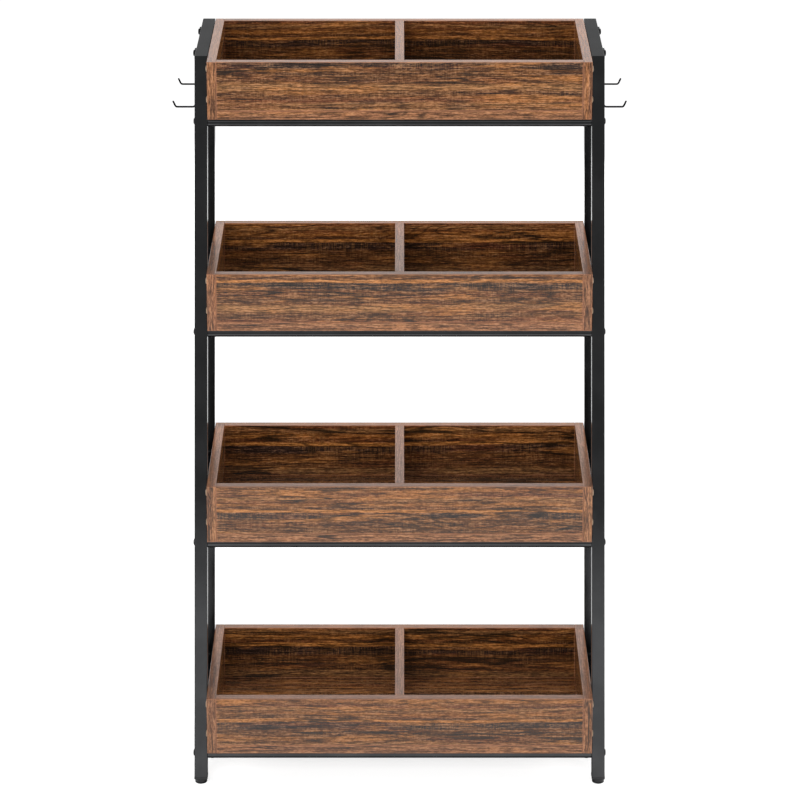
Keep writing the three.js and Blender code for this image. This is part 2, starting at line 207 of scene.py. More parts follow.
# The printed grain from band to band: distance from its bright line in metres, and the tone there
GRAIN_START = -0.075
GRAIN_PERIOD = 0.2
GRAIN_BANDS = [
    (-0.075, UMBER),
    (-0.066, BROWN),
    (-0.058, TAN),
    (-0.052, UMBER),
    (-0.046, ORANGE),
    (-0.040, BROWN),
    (-0.034, RUSSET),
    (-0.028, TAN),
    (-0.022, BROWN),
    (-0.016, ORANGE),
    (-0.011, BROWN),
    (-0.007, UMBER),
    (-0.003, ORANGE),
    (0.000, ORANGE),
    (0.002, SLATE),
    (0.014, SLATE),
    (0.020, BROWN),
    (0.026, UMBER),
    (0.032, BROWN),
    (0.038, UMBER),
    (0.045, BROWN),
    (0.050, TAN),
    (0.058, TAN),
    (0.064, BROWN),
    (0.070, UMBER),
    (0.076, BROWN),
    (0.084, RUSSET),
    (0.089, TAN),
    (0.096, BROWN),
    (0.104, TAN),
    (0.113, BROWN),
    (0.124, UMBER),
]


def bend_grain(paint, place):
    """The map with slow waves across the grain, which bend every band."""
    wave = paint.noise(paint.stretched(place, 1.7, 9), 1, 3, 0.55)
    sway = paint.math("MULTIPLY", paint.math("SUBTRACT", wave, 0.5), 0.022)
    shift = paint.add("CombineXYZ", {"Y": sway}).outputs[0]
    return paint.add("VectorMath", {0: place, 1: shift}, operation="ADD").outputs[0]


def printed_flaws(paint, place, bent):
    """Thin wandering cracks, a few knots, and nested arcs as of a board cut along its rings."""
    lines = paint.noise(paint.stretched(bent, 1.9, 34), 1, 3, 0.5, 0.35)
    near = paint.math("ABSOLUTE", paint.math("SUBTRACT", lines, 0.5))
    where = paint.noise(paint.stretched(place, 3.4, 20), 1, 2, 0.5)
    cracks = paint.math("MULTIPLY", paint.span(near, 0.024, 0.006), paint.span(where, 0.50, 0.56))

    cells = paint.add("TexVoronoi", {"Vector": paint.stretched(bent, 5, 34), "Scale": 1.0})
    chosen = paint.add("SeparateColor", {"Color": cells.outputs["Color"]}).outputs[0]
    knots = paint.math("MULTIPLY", paint.span(cells.outputs["Distance"], 0.16, 0.05),
                       paint.span(chosen, 0.80, 0.82))

    figure = paint.noise(paint.stretched(bent, 2.2, 17), 1, 2, 0.40)
    phase = paint.math("FRACT", paint.math("MULTIPLY", figure, 22))
    arc = paint.math("ABSOLUTE", paint.math("SUBTRACT", phase, 0.5))
    shown = paint.noise(paint.stretched(place, 3.0, 16), 1, 3, 0.6)
    arcs = paint.math("MULTIPLY", paint.span(arc, 0.20, 0.06), paint.span(shown, 0.52, 0.62, 0, 0.62))

    spots = paint.math("MAXIMUM", paint.math("MULTIPLY", cracks, 0.85), paint.math("MULTIPLY", knots, 0.8))
    return paint.math("MAXIMUM", spots, arcs)


def rustic_wood():
    """Laminate with a printed grain. The map named grain holds metres along and across the grain."""
    paint = Paint("rustic_wood")
    place = paint.add("UVMap", {}, uv_map="grain").outputs[0]
    # The edge layer: rubbed edges, partly wearing of the foil and partly a painted highlight
    worn_and_lit = paint.add("Attribute", {}, attribute_name="edge").outputs["Fac"]
    # Painted shade: the tone layer darkens the back panels' inner faces in place of the shade inside the
    # trays
    painted_back_shade = paint.add("Attribute", {}, attribute_name="tone").outputs["Fac"]
    bent = bend_grain(paint, place)
    across = paint.add("SeparateXYZ", {"Vector": bent}).outputs["Y"]
    turn = paint.math("DIVIDE", paint.math("SUBTRACT", across, GRAIN_START), GRAIN_PERIOD)
    stops = [((at - GRAIN_START) / GRAIN_PERIOD, tone) for at, tone in GRAIN_BANDS]
    colour = paint.ramp(paint.math("FRACT", turn), stops)

    # Streaks a hand long over the bands, red and warm patches, and the bright line
    streaks = paint.noise(paint.stretched(bent, 7, 100), 1, 5, 0.66)
    colour = paint.mix(paint.span(streaks, 0.54, 0.68, 0, 0.55), colour, (*ORANGE, 1))
    colour = paint.mix(paint.span(streaks, 0.47, 0.36, 0, 0.62), colour, (*SLATE, 1))
    reds = paint.noise(paint.stretched(place, 3.5, 60), 1, 3, 0.6)
    colour = paint.mix(paint.span(reds, 0.50, 0.62, 0, 0.45), colour, (*RUSSET, 1))
    warm = paint.noise(paint.stretched(bent, 4.0, 42), 1, 4, 0.62)
    colour = paint.mix(paint.span(warm, 0.53, 0.64, 0, 0.62), colour, (*GLOW, 1))
    line = paint.math("ABSOLUTE", paint.math("ADD", across, 0.002))
    colour = paint.mix(paint.span(line, 0.0038, 0.0020, 0, 0.80), colour, (*GLOW, 1))

    # Veins of a few centimetres, fine fibres, and the marks of the saw across them
    veins = paint.noise(paint.stretched(bent, 19, 300), 1, 3, 0.75)
    vein_level = paint.span(veins, 0.37, 0.65, 0.33, 1.84)
    fibres = paint.noise(paint.stretched(place, 110, 430), 1, 3, 0.7)
    fibre_level = paint.span(fibres, 0.34, 0.66, 0.50, 1.45)
    patches = paint.noise(paint.stretched(place, 9, 30), 1, 3, 0.6)
    saw = paint.noise(paint.stretched(place, 330, 26), 1, 2, 0.7)
    sawn = paint.math("MULTIPLY", paint.span(patches, 0.38, 0.56), paint.span(saw, 0.42, 0.62))
    colour = paint.mix(paint.math("MULTIPLY", sawn, 0.44), colour, (*TAN, 1))

    # Rubbed edges: the foil warm and thin, the print plainer; partly wearing, partly a painted highlight on
    # edges and rims
    rub_and_highlight = paint.math("MULTIPLY", worn_and_lit, paint.span(streaks, 0.30, 0.62, 0.62, 0.95))
    colour = paint.mix(rub_and_highlight, colour, (*EDGE_TONE, 1))
    plain = paint.span(worn_and_lit, 0.60, 0.85, 0, 0.65)
    printed = paint.math("SUBTRACT", 1.0, plain)

    # The level takes the painted shade of the tone layer
    level = paint.math("MULTIPLY", paint.math("MULTIPLY", vein_level, fibre_level), painted_back_shade)
    level = paint.math("ADD", paint.math("MULTIPLY", level, printed), plain)
    grey = paint.add("CombineColor", {0: level, 1: level, 2: level}).outputs[0]
    colour = paint.mix(1.0, colour, grey, "MULTIPLY")
    colour = paint.mix(paint.span(level, 1.0, 2.3, 0, 0.55), colour, (*PALE, 1))
    flaws = paint.math("MULTIPLY", printed_flaws(paint, place, bent), printed)
    colour = paint.mix(flaws, colour, (*CRACK, 1))

    height = paint.math("SUBTRACT", paint.math("ADD", fibres, paint.math("MULTIPLY", sawn, 0.6)),
                        paint.math("MULTIPLY", flaws, 2.0))
    paint.feed(paint.shader, {
        "Base Color": colour,
        "Roughness": paint.span(veins, 0.3, 0.7, 0.27, 0.17),
        "Normal": paint.bump(height, 0.00006, 0.30),
    })
    return paint.material


def painted(name, colour, metallic, edge_tint, rough, peel_strength, peel_size):
    """A smooth coat with a fine orange-peel surface and uneven gloss, laid out in the row frame. The edge
    tint is the share of light that metal keeps near a grazing angle."""
    paint = Paint(name)
    place = paint.add("TexCoord", {}).outputs["Object"]
    peel = paint.noise(place, 1 / peel_size, 2, 0.5)
    cloud = paint.noise(place, 14, 4, 0.6)
    dark = tuple(0.86 * c for c in colour)
    light = tuple(1.12 * c for c in colour)
    low, high = rough
    paint.feed(paint.shader, {
        "Base Color": paint.ramp(paint.span(cloud, 0.3, 0.7), [(0, dark), (1, light)]),
        "Metallic": metallic,
        "Roughness": paint.span(cloud, 0.3, 0.7, low, high),
        "Specular Tint": (edge_tint, edge_tint, edge_tint, 1),
        "Normal": paint.bump(peel, peel_size * 0.1, peel_strength),
    })
    return paint.material


WOOD = rustic_wood()
# Colour, metallic, edge tint, lowest and highest roughness, strength and size of the orange peel
BLACK_STEEL = painted("black_steel", (0.057, 0.058, 0.060), 1.0, 0.46, (0.15, 0.21), 0.08, 0.0012)
BOLT_STEEL = painted("bolt_steel", (0.045, 0.045, 0.047), 1.0, 0.5, (0.22, 0.32), 0.08, 0.0006)
SCREW_STEEL = painted("screw_steel", (0.42, 0.40, 0.36), 1.0, 1.0, (0.28, 0.40), 0.08, 0.0006)
BLACK_PLASTIC = painted("black_plastic", (0.011, 0.011, 0.012), 0.0, 1.0, (0.36, 0.46), 0.22, 0.0005)
BAR_STEEL = painted("bar_steel", (0.062, 0.063, 0.065), 1.0, 0.30, (0.13, 0.17), 0.06, 0.0012)
# Painted shade: the wire has the rack's black coat, but a darker colour so that it reads black against the
# white it reflects
SHADED_WIRE_STEEL = painted("wire_steel", (0.009, 0.009, 0.010), 1.0, 0.35, (0.22, 0.30), 0.06, 0.0008)
CAP_PLASTIC = painted("cap_plastic", (0.36, 0.24, 0.15), 0.0, 1.0, (0.38, 0.50), 0.15, 0.0008)


# Mesh building
def bridge(bm, rings, closed=False):
    """Faces between one ring of points and the next; a ring of one point closes an end."""
    pairs = list(zip(rings, rings[1:] + rings[:1])) if closed else list(zip(rings, rings[1:]))
    for a, b in pairs:
        count = max(len(a), len(b))
        for i in range(count):
            j = (i + 1) % count
            corners = [a[i % len(a)], a[j % len(a)], b[j % len(b)], b[i % len(b)]]
            distinct = list(dict.fromkeys(corners))
            if len(distinct) > 2:
                bm.faces.new(distinct)


def finished(name, bm, smooth_angle=35):
    """The mesh of bm, with its faces outwards and sharp edges kept sharp."""
    bmesh.ops.recalc_face_normals(bm, faces=bm.faces)
    mesh = bpy.data.meshes.new(name)
    bm.to_mesh(mesh)
    bm.free()
    mesh.polygons.foreach_set("use_smooth", [True] * len(mesh.polygons))
    mesh.set_sharp_from_angle(angle=math.radians(smooth_angle))
    return mesh


def add_piece(name, mesh, material, body="rack", replaces=()):
    """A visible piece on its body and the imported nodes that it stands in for."""
    piece = bpy.data.objects.new(name, mesh)
    scene.collection.objects.link(piece)
    mesh.materials.append(material)
    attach(piece, body)
    if replaces:
        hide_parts(*replaces)
    return piece


def keep_flats_flat(piece):
    """Weights the normals by area, so that light runs only over the rounded edges."""
    weighted = piece.modifiers.new("flat_faces", "WEIGHTED_NORMAL")
    weighted.keep_sharp = True


def rounded_square(size, radius):
    """Points round a square with rounded corners, centred on 0."""
    reach = size / 2 - radius
    points = []
    for turn, (sx, sy) in enumerate([(1, 1), (-1, 1), (-1, -1), (1, -1)]):
        for step in range(CORNER_STEPS + 1):
            angle = (turn + step / CORNER_STEPS) * math.pi / 2
            points.append((sx * reach + radius * math.cos(angle), sy * reach + radius * math.sin(angle)))
    return points


def flat_ring(bm, place, points, height):
    """New vertices at [x, y] points of one height."""
    return [bm.verts.new(place @ Vector((x, y, height))) for x, y in points]


def circle_like(points, radius):
    """Points on a circle, one in line with each of the given ones."""
    return [tuple(radius * Vector(point).normalized()) for point in points]


def turned(bm, profile, place, segments=36):
    """Turns [radius, height] points round Z; a radius may be a function of the angle and the height."""
    rings = []
    for radius, height in profile:
        if radius == 0:
            rings.append([bm.verts.new(place @ Vector((0, 0, height)))])
            continue
        ring = []
        for i in range(segments):
            angle = 2 * math.pi * i / segments
            reach = radius(angle, height) if callable(radius) else radius
            point = Vector((reach * math.cos(angle), reach * math.sin(angle), height))
            ring.append(bm.verts.new(place @ point))
        rings.append(ring)
    bridge(bm, rings)


def sweep(bm, points, radii, axis, sides, closed=False):
    """A round section carried along points in one plane, whose normal is axis."""
    rings = []
    last = len(points) - 1
    for i, point in enumerate(points):
        before = points[i - 1] if closed or i > 0 else point
        after = points[(i + 1) % len(points)] if closed or i < last else point
        across = (after - before).normalized().cross(axis)
        angles = [2 * math.pi * k / sides for k in range(sides)]
        rings.append([bm.verts.new(point + radii[i] * (math.cos(a) * across + math.sin(a) * axis))
                      for a in angles])
    if not closed:
        rings.insert(0, [bm.verts.new(points[0])])
        rings.append([bm.verts.new(points[last])])
    bridge(bm, rings, closed)


def along_x(x, y, z, side):
    """Turns Z outwards, towards the rack's left or right, at a place."""
    return Matrix.Translation((x, y, z)) @ Matrix.Rotation(side * math.pi / 2, 4, "Y")


def along_y(x, y, z):
    """Turns Z towards the back and Y down, at a place."""
    turn = Matrix(((1, 0, 0, 0), (0, 0, 1, 0), (0, -1, 0, 0), (0, 0, 0, 1)))
    return Matrix.Translation((x, y, z)) @ turn


# Steel tubes
def straight_end(_x, _y):
    """An end that moves nowhere along its tube."""
    return 0


def square_tube(bm, length, size, corner, place, low_end=straight_end, high_end=straight_end):
    """A tube along Z; low_end and high_end say how far each end moves along it at a point of the section."""
    outer = rounded_square(size, corner)
    inner = rounded_square(size - 2 * TUBE_WALL, corner - TUBE_WALL / 2)

    def ring(points, height, end):
        return [bm.verts.new(place @ Vector((x, y, height + end(x, y)))) for x, y in points]

    bridge(bm, [ring(outer, 0, low_end), ring(outer, length, high_end),
                ring(inner, length, high_end), ring(inner, 0, low_end)], closed=True)


def add_tube(node, bm):
    """The painted tube that stands in for a node."""
    tube = add_piece(f"{node}_tube", finished(node, bm), BLACK_STEEL, replaces=[node])
    keep_flats_flat(tube)


def build_post(side_name, end_name):
    """A post, mitred at the top."""
    node = f"{side_name}_{end_name}_post"
    towards_middle = 1 if end_name == "front" else -1
    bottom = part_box(node)[0].z
    place = Matrix.Translation((SIDES[side_name] * POST_X, TUBE_LINES[end_name], bottom))
    bm = bmesh.new()
    square_tube(bm, TOP_Z - bottom, TUBE, TUBE_CORNER, place,
                high_end=lambda x, y: -(TUBE / 2 + towards_middle * y))
    add_tube(node, bm)


def build_rail(side_name):
    """A top rail, mitred at both ends."""
    place = along_y(SIDES[side_name] * POST_X, FRONT_Y, TOP_Z - TUBE / 2)
    bm = bmesh.new()
    square_tube(bm, BACK_Y - FRONT_Y, TUBE, TUBE_CORNER, place,
                low_end=lambda x, y: TUBE / 2 + y, high_end=lambda x, y: -TUBE / 2 - y)
    add_tube(f"{side_name}_top_rail", bm)


def weld_line(size, corner):
    """Closely spaced points round a tube's outline, for the ripples of a weld."""
    outline = [Vector(point) for point in rounded_square(size, corner)]
    points = []
    for a, b in zip(outline, outline[1:] + outline[:1]):
        count = max(1, round((b - a).length / WELD_STEP))
        points.extend(a.lerp(b, step / count) for step in range(count))
    return [tuple(point) for point in points]


def build_rung(side_name, tier):
    """A rung between the posts, with a bead of weld round each end."""
    node = f"{side_name}_rung_{tier}"
    low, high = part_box(node)
    x, z = SIDES[side_name] * POST_X, (low.z + high.z) / 2
    front, back = TUBE_LINES["front"] + TUBE / 2, TUBE_LINES["rear"] - TUBE / 2
    bm = bmesh.new()
    square_tube(bm, back - front, RUNG, RUNG_CORNER, along_y(x, front, z))
    rng = random.Random(node)
    for y in (front, back):
        loop = [Vector((x + across, y, z + up)) for across, up in weld_line(RUNG, RUNG_CORNER)]
        radii = [WELD_RADIUS * rng.uniform(0.82, 1.15) for _ in loop]
        sweep(bm, loop, radii, Vector((0, 1, 0)), sides=8, closed=True)
    add_tube(node, bm)


# Bolts, screws and caps: each is turned round Z with its seat at 0, then laid in place
def hexagon(half_flats):
    """A radius that follows a hexagonal socket."""
    def radius(angle, _height):
        from_flat = (angle + math.pi / 6) % (math.pi / 3) - math.pi / 6
        return half_flats / math.cos(from_flat)

    return radius


def dome(radius, base, height, steps=6, inner=0.0):
    """Points over a dome from its rim to an inner radius."""
    last = math.acos(inner / radius)
    return [(radius * math.cos(last * step / steps), base + height * math.sin(last * step / steps))
            for step in range(steps + 1)]


def socket_head(radius, height):
    """A dome with a hexagonal socket, in shares of its radius and height."""
    rim, socket_floor = height * 0.36, height * 0.35
    over = dome(radius, rim, height - rim, inner=radius * 0.45)
    socket_top = over[-1][1] - height * 0.03
    return [(0, 0), (radius * 0.94, 0), *over, (hexagon(radius * 0.33), socket_top),
            (hexagon(radius * 0.31), socket_floor), (0, socket_floor)]


def add_fastener(name, profile, place, material, replaces=()):
    """A turned head, laid in place."""
    bm = bmesh.new()
    turned(bm, profile, place)
    return add_piece(name, finished(name, bm, 30), material, replaces=replaces)


def build_crossbar(end_name, tier):
    """A crossbar with its two bolts and the heads of the two screws that go up into the tray."""
    node = f"{end_name}_crossbar_{tier}"
    y, z = TUBE_LINES[end_name], rim_of(tier) - CROSSBAR_DROP
    half = HALF_WIDTH - TUBE
    bm = bmesh.new()
    turned(bm, [
        (0, -half),
        (BAR_RADIUS - BAR_CHAMFER, -half),
        (BAR_RADIUS, BAR_CHAMFER - half),
        (BAR_RADIUS, half - BAR_CHAMFER),
        (BAR_RADIUS - BAR_CHAMFER, half),
        (0, half),
    ], along_x(0, y, z, 1), 40)
    add_piece(f"{node}_tube", finished(node, bm), BAR_STEEL, replaces=[node])
    for side_name, side in SIDES.items():
        add_fastener(f"{node}_{side_name}_bolt", socket_head(BOLT_HEAD_RADIUS, BOLT_HEAD_HEIGHT),
                     along_x(side * HALF_WIDTH, y, z, side), BOLT_STEEL)
        seat = (side * (TRAY_HALF_WIDTH - BOARD / 2), y, z - BAR_RADIUS + TRAY_SCREW_SUNK)
        add_fastener(f"{node}_{side_name}_tray_screw", socket_head(SCREW_HEAD_RADIUS, TRAY_SCREW_HEIGHT),
                     Matrix.Translation(seat) @ Matrix.Rotation(math.pi, 4, "X"), BOLT_STEEL)


def build_caps(tier):
    """Caps over the front panel's screws, and the flat heads of the back panel's screws."""
    rim = rim_of(tier)
    cap = [(0, 0), (CAP_RADIUS, 0), *dome(CAP_RADIUS, CAP_SIDE, CAP_DOME, 7)]
    screw = socket_head(SCREW_HEAD_RADIUS, BACK_SCREW_HEIGHT)
    for side_name, side in SIDES.items():
        for count, drop in enumerate(CAP_DROPS, start=1):
            x, z = side * TRAY_HALF_WIDTH, rim - drop
            add_fastener(f"tray_{tier}_{side_name}_cap_{count}", cap,
                         along_x(x, front_y(drop) + SLANTED_BOARD / 2, z, side), CAP_PLASTIC)
            add_fastener(f"tray_{tier}_{side_name}_back_screw_{count}", screw,
                         along_x(x, BACK_Y - BOARD / 2, z, side), SCREW_STEEL)


# Hooks: a strap bolted to the top rail, with a bent wire welded to it
def bent_path(corners, radius, steps=8):
    """Straight runs between corners, joined by round bends."""
    points = [corners[0]]
    for before, corner, after in zip(corners, corners[1:], corners[2:]):
        inward, outward = (corner - before).normalized(), (after - corner).normalized()
        turn = inward.angle(outward)
        start = corner - inward * radius * math.tan(turn / 2)
        to_centre = (outward - inward * math.cos(turn)).normalized()
        centre = start + to_centre * radius
        for step in range(steps + 1):
            angle = turn * step / steps
            points.append(centre - to_centre * radius * math.cos(angle) + inward * radius * math.sin(angle))
    return [*points, corners[-1]]


def build_strap(node, side, y, half_length):
    """A flat strap against the rail, with its two lower corners cut off."""
    corner_y, corner_z = half_length - STRAP_CUT, STRAP_BOTTOM + STRAP_CUT
    outline = [(-half_length, STRAP_TOP), (-half_length, corner_z), (-corner_y, STRAP_BOTTOM),
               (corner_y, STRAP_BOTTOM), (half_length, corner_z), (half_length, STRAP_TOP)]
    bm = bmesh.new()
    faces = [[bm.verts.new((side * x, y + across, z)) for across, z in outline]
             for x in (HALF_WIDTH, HALF_WIDTH + STRAP_SEAT + STRAP_THICKNESS)]
    bridge(bm, faces)
    for face in faces:
        bm.faces.new(face)
    bmesh.ops.bevel(bm, geom=bm.edges[:], offset=STRAP_EDGE, segments=2, profile=0.5, affect="EDGES")
    strap = add_piece(f"{node}_strap", finished(f"{node}_strap", bm), BLACK_STEEL,
                      replaces=[node])
    keep_flats_flat(strap)


def build_wire(node, side, y):
    """The bent wire with a round tip, and the beads of weld that hold it to the strap."""
    wire_x = HALF_WIDTH + STRAP_SEAT + WIRE_RADIUS
    tip_x = WIRE_BEND_X + WIRE_TIP_RISE / math.tan(math.radians(WIRE_TIP_ANGLE))
    corners = [(wire_x, WIRE_TOP), (wire_x, WIRE_ARM_Z), (WIRE_BEND_X, WIRE_ARM_Z),
               (tip_x, WIRE_ARM_Z + WIRE_TIP_RISE)]
    path = bent_path([Vector((side * x, y, z)) for x, z in corners], WIRE_BEND)
    end, direction = path[-1], (path[-1] - path[-2]).normalized()
    radii = [WIRE_RADIUS] * len(path)
    path[-1] = end - direction * WIRE_RADIUS
    for angle in (math.radians(degrees) for degrees in (30, 55, 75)):
        path.append(end - direction * WIRE_RADIUS * (1 - math.sin(angle)))
        radii.append(WIRE_RADIUS * math.cos(angle))
    bm = bmesh.new()
    sweep(bm, path, radii, Vector((0, 1, 0)), sides=16)
    bead_x, bead_z = side * (wire_x + 0.0002), STRAP_BOTTOM - 0.0003
    for away in (-1, 1):
        bead = [Vector((bead_x, y + away * (BEAD_START + BEAD_STEP * step), bead_z))
                for step in range(len(BEAD_RADII))]
        sweep(bm, bead, BEAD_RADII, Vector((1, 0, 0)), sides=8)
    add_piece(f"{node}_wire", finished(f"{node}_wire", bm), SHADED_WIRE_STEEL)


def build_hook(side_name, end_name):
    """A hook: its strap, its wire and the head of its bolt."""
    side = SIDES[side_name]
    node = f"{side_name}_{end_name}_hook"
    low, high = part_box(node)
    y = (low.y + high.y) / 2
    build_strap(node, side, y, (high.y - low.y) / 2)
    build_wire(node, side, y)
    seat = along_x(side * (HALF_WIDTH + STRAP_SEAT + STRAP_THICKNESS), y, TOP_Z - HOOK_BOLT_DROP, side)
    add_fastener(f"{node}_bolt_head", socket_head(BOLT_HEAD_RADIUS, HOOK_BOLT_HEIGHT), seat, BOLT_STEEL,
                 replaces=[f"{node}_bolt"])


# Plugs and feet
def build_plug(side_name, end_name):
    """A square plug with a wider flange under the post and a round bore for the stud."""
    node = f"{side_name}_{end_name}_plug"
    low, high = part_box(node)
    flange_top = low.z + PLUG_FLANGE
    place = Matrix.Translation((SIDES[side_name] * POST_X, TUBE_LINES[end_name], 0))
    wide = rounded_square(high.x - low.x, PLUG_FLANGE_CORNER)
    wide_edge = rounded_square(high.x - low.x - 2 * PLUG_EDGE, PLUG_FLANGE_CORNER)
    inside = TUBE - 2 * TUBE_WALL - PLUG_GAP
    narrow = rounded_square(inside, PLUG_BODY_CORNER)
    narrow_edge = rounded_square(inside - 2 * PLUG_EDGE, PLUG_BODY_CORNER)
    bore = circle_like(wide, PLUG_BORE_RADIUS)
    sections = [
        (wide_edge, low.z),
        (wide, low.z + PLUG_EDGE),
        (wide, flange_top - PLUG_EDGE),
        (wide_edge, flange_top),
        (narrow, flange_top),
        (narrow, high.z - PLUG_EDGE),
        (narrow_edge, high.z),
        (bore, high.z),
        (bore, low.z),
    ]
    bm = bmesh.new()
    bridge(bm, [flat_ring(bm, place, points, height) for points, height in sections], closed=True)
    plug = add_piece(f"{node}_cap", finished(node, bm), BLACK_PLASTIC, replaces=[node])
    keep_flats_flat(plug)


def thread_radius(angle, height):
    """The stud's radius, which rises and falls once a pitch."""
    turn = (height / THREAD_PITCH - angle / (2 * math.pi)) % 1
    return STUD_RADIUS - THREAD_DEPTH + THREAD_DEPTH * (1 - abs(2 * turn - 1))


def build_foot(side_name, end_name):
    """A round pad moulded on a threaded stud; it rides on its own body."""
    node = f"{side_name}_{end_name}_foot"
    low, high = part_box(node)
    pad_radius = (high.x - low.x) / 2
    core = STUD_RADIUS - THREAD_DEPTH
    soft = PAD_TOP_EDGE * 0.3
    thread_from, thread_to = PAD_HEIGHT + 0.0002, high.z - 0.0010
    thread_step = THREAD_PITCH / 8
    rounded = [(pad_radius - PAD_EDGE * (1 - math.sin(a)), PAD_EDGE * (1 - math.cos(a)))
               for a in (math.pi / 2 * step / 6 for step in range(7))]
    count = round((thread_to - thread_from) / thread_step)
    threads = [(thread_radius, thread_from + thread_step * step) for step in range(count)]
    bm = bmesh.new()
    turned(bm, [
        (0, 0),
        *rounded,
        (pad_radius, PAD_HEIGHT - PAD_TOP_EDGE),
        (pad_radius - soft, PAD_HEIGHT - soft),
        (pad_radius - PAD_TOP_EDGE, PAD_HEIGHT),
        (core, PAD_HEIGHT),
        *threads,
        (core - soft, high.z),
        (0, high.z),
    ], Matrix.Translation((SIDES[side_name] * POST_X, TUBE_LINES[end_name], 0)))
    add_piece(f"{node}_pad", finished(node, bm, 50), BLACK_PLASTIC, body=node,
              replaces=[node])


# Boards: the outline lies in the Y-Z plane, as (y, drop) points, and is spread from one x to another
# The sides of a board, in the order in which each one's place in the print is drawn
GRAIN_SIDES = ("end", "front", "back", "top", "under")
# A face looks along an axis where its normal's share along it is above this
FACING = 0.7


def lay_grain(bm, rim, along_x_axis, line_drop, rng):
    """The grain map: u along the grain and v across it. On the wide sides the bright line is at v 0."""
    layer = bm.loops.layers.uv.new("grain")
    starts = {key: (rng.uniform(0, 40), rng.uniform(-0.07, 0.1)) for key in GRAIN_SIDES}
    wide_sides = ("front", "back") if along_x_axis else ("end",)
    for face in bm.faces:
        normal = face.normal
        if abs(normal.x) > FACING:
            key = "end"
        elif abs(normal.z) > FACING:
            key = "top" if normal.z > 0 else "under"
        else:
            key = "front" if normal.y < 0 else "back"
        start_u, start_v = starts[key]
        if key in wide_sides:
            start_v = -line_drop
        for loop in face.loops:
            x, y, z = loop.vert.co
            drop = rim - z
            if key == "end":
                u, v = y, drop
            elif key in ("top", "under"):
                u, v = (x, y) if along_x_axis else (y, x)
            else:
                u, v = (x, drop) if along_x_axis else (z, x)
            loop[layer].uv = (u + start_u, v + start_v)


def build_board(node, outline, x_low, x_high, rim, along_x_axis, line_drop, front_painted_shade=1.0):
    """A board with rounded edges. Its edge layer says how much of the rubbed edge a vertex takes, partly
    wearing and partly a painted highlight, and its tone layer the painted shade of the faces that look to
    the front."""
    bm = bmesh.new()
    ends = [[bm.verts.new((x, y, rim - drop)) for y, drop in outline] for x in (x_low, x_high)]
    bridge(bm, ends)
    for end in ends:
        bm.faces.new(end)
    bmesh.ops.recalc_face_normals(bm, faces=bm.faces)
    bevel = bmesh.ops.bevel(bm, geom=bm.edges[:], offset=BOARD_EDGE, segments=2, profile=0.5,
                            affect="EDGES")
    rounded = set(bevel["faces"])
    flat = [face for face in bm.faces if face not in rounded]
    bmesh.ops.inset_individual(bm, faces=flat, thickness=WORN_LIT_BAND)
    edge = bm.verts.layers.float.new("edge")
    tone = bm.verts.layers.float.new("tone")
    for vert in bm.verts:
        vert[edge] = 1.0
        vert[tone] = 1.0
    for face in flat:
        narrow = min(side.calc_length() for side in face.edges) < BOARD
        # The rims that face up take more painted highlight than the other narrow faces
        wear_and_highlight = RIM_WEAR_AND_HIGHLIGHT if face.normal.z > FACING else NARROW_WEAR_AND_HIGHLIGHT
        for vert in face.verts:
            vert[edge] = wear_and_highlight if narrow else 0.0
            # Painted shade on the faces that look to the front: only the back panels get less than 1, on
            # their inner faces
            vert[tone] = front_painted_shade if face.normal.y < -FACING else 1.0
    lay_grain(bm, rim, along_x_axis, line_drop, random.Random(node))
    board = add_piece(f"{node}_board", finished(node, bm), WOOD, replaces=[node])
    keep_flats_flat(board)


# Drop of the grain's bright line below the rim on each tray's front, and on its other boards
FRONT_LINES = {1: -0.002, 2: 0.017, 3: 0.055, 4: 0.050}
SIDE_LINE = 0.030
BACK_LINE = 0.038
DIVIDER_LINE = 0.038
FLOOR_LINE = 0.016
# Painted shade: how much of its colour each back panel's inner face keeps, standing in for the shade inside
# each tray
BACK_PAINTED_SHADES = {1: 0.71, 2: 0.71, 3: 0.70, 4: 0.58}


def build_tray(tier):
    """Two sides, and between them a leaning front, a back and a divider that stand on the floor board."""
    rim = rim_of(tier)
    name = f"tray_{tier}"
    inner = TRAY_HALF_WIDTH - BOARD - BOARD_GAP
    front_inner = FRONT_RIM_Y + SLANTED_BOARD
    back_inner = BACK_Y - BOARD

    def upright(front, back, top, bottom, back_slope=0.0):
        """An outline whose front leans, and whose back leans where it has a slope."""
        return [(front + FRONT_SLOPE * top, top), (back + back_slope * top, top),
                (back + back_slope * bottom, bottom), (front + FRONT_SLOPE * bottom, bottom)]

    side_outline = upright(FRONT_RIM_Y, BACK_Y, 0, TRAY_HEIGHT)
    for side_name, side in SIDES.items():
        x_low, x_high = sorted((side * TRAY_HALF_WIDTH, side * (TRAY_HALF_WIDTH - BOARD)))
        build_board(f"{name}_{side_name}_side", side_outline, x_low, x_high, rim, False, SIDE_LINE)
    build_board(f"{name}_front_panel", upright(FRONT_RIM_Y, front_inner, 0, PANEL_HEIGHT, FRONT_SLOPE),
                -inner, inner, rim, True, FRONT_LINES[tier])
    build_board(f"{name}_back_panel",
                [(back_inner, 0), (BACK_Y, 0), (BACK_Y, PANEL_HEIGHT), (back_inner, PANEL_HEIGHT)],
                -inner, inner, rim, True, BACK_LINE, BACK_PAINTED_SHADES[tier])
    build_board(f"{name}_divider", upright(front_inner + BOARD_GAP, back_inner - BOARD_GAP, 0, PANEL_HEIGHT),
                -BOARD / 2, BOARD / 2, rim, False, DIVIDER_LINE)
    build_board(f"{name}_floor", upright(FRONT_RIM_Y, BACK_Y, TRAY_HEIGHT - BOARD, TRAY_HEIGHT),
                -inner, inner, rim, True, FLOOR_LINE)


